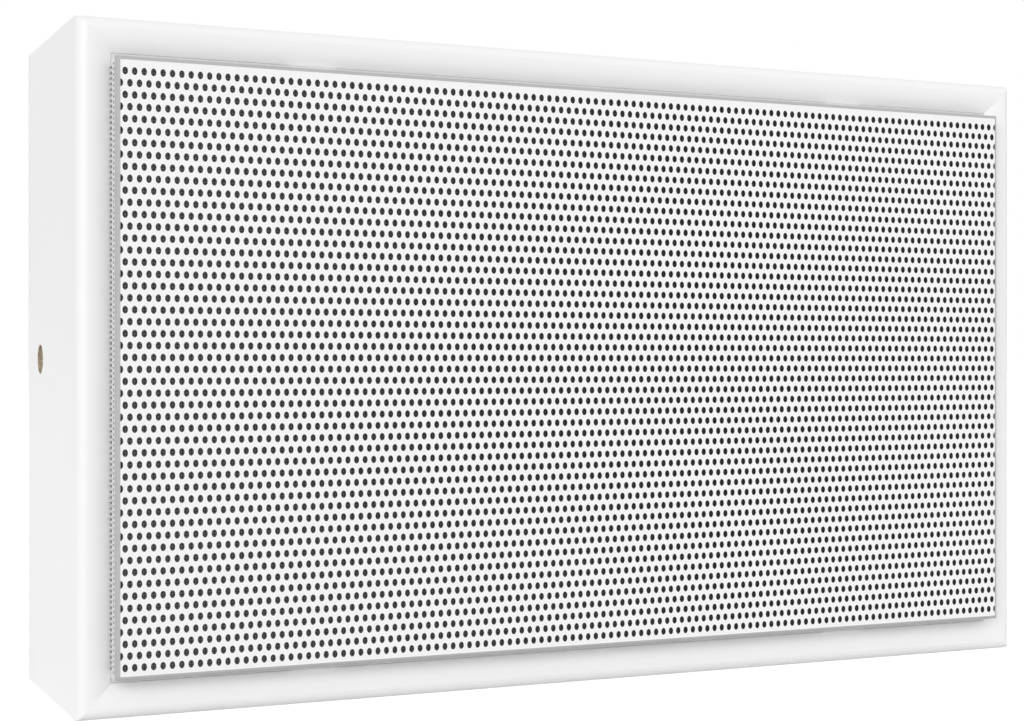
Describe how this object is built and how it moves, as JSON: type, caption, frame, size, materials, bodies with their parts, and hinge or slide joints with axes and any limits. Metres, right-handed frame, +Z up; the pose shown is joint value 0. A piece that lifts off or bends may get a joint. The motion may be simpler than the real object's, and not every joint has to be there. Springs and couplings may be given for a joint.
{
  "type": "wall speaker",
  "caption": "White mitred cabinet speaker with a folded perforated grille, full-range driver, line transformer and keyhole back, hung flat on a wall.",
  "frame": {"origin": "centre of the cabinet's back face, in the wall plane", "axes": "+Y into the wall, so the front faces -Y; +X along the cabinet's width, to the right seen from the front; +Z up"},
  "size_m": [0.313, 0.0799, 0.19],
  "materials": {
    "cabinet_white": "satin white foil over fibreboard",
    "raw_board": "raw fibreboard",
    "grille_white": "white powder coat on perforated steel",
    "acoustic_cloth": "thin black open weave",
    "zinc_steel": "zinc plated",
    "spring_steel": "bright spring steel",
    "basket_black": "black powder coat",
    "cone_paper": "black pressed paper",
    "surround_rubber": "matt rubber",
    "gasket_foam": "closed-cell foam",
    "spider_cloth": "resin-dipped cotton",
    "ferrite": "ground ferrite",
    "copper": "enamelled copper",
    "brass": "bright brass",
    "laminations": "varnished steel sheet",
    "nylon_white": "moulded nylon",
    "winding_tape": "yellow insulating tape",
    "strip_board": "pressed paper board",
    "lead_grey": "soft sheathed lead",
    "lead_red": "soft sheathed lead",
    "fleece_white": "polyester fleece"
  },
  "bodies": {
    "root": {"top_wall": "cabinet_white", "bottom_wall": "cabinet_white", "left_wall": "cabinet_white", "right_wall": "cabinet_white", "baffle": "cabinet_white", "back_panel": "raw_board", "corner_block_1": "raw_board", "corner_block_2": "raw_board", "corner_block_3": "raw_board", "corner_block_4": "raw_board", "batten_top": "raw_board", "batten_bottom": "raw_board", "back_screws": "zinc_steel", "keyhole_plate_left": "zinc_steel", "keyhole_plate_right": "zinc_steel", "keyhole_screws": "zinc_steel", "grille": "grille_white", "grille_cloth": "acoustic_cloth", "grille_clips": "spring_steel", "basket": "basket_black", "driver_gasket": "gasket_foam", "surround": "surround_rubber", "cone": "cone_paper", "dust_cap": "cone_paper", "voice_coil": "copper", "spider": "spider_cloth", "front_plate": "zinc_steel", "magnet": "ferrite", "pole_plate": "zinc_steel", "driver_screws": "zinc_steel", "terminal_strip": "strip_board", "strip_tags": "brass", "braids": "copper", "core": "laminations", "bobbin": "nylon_white", "winding": "winding_tape", "bracket": "zinc_steel", "bracket_screws": "zinc_steel", "terminal_block": "nylon_white", "terminal_barrels": "brass", "clamp_screws": "zinc_steel", "block_screws": "zinc_steel", "input_lead": "lead_grey", "output_lead": "lead_red", "fleece_left": "fleece_white", "fleece_right": "fleece_white"}
  },
  "joints": []
}
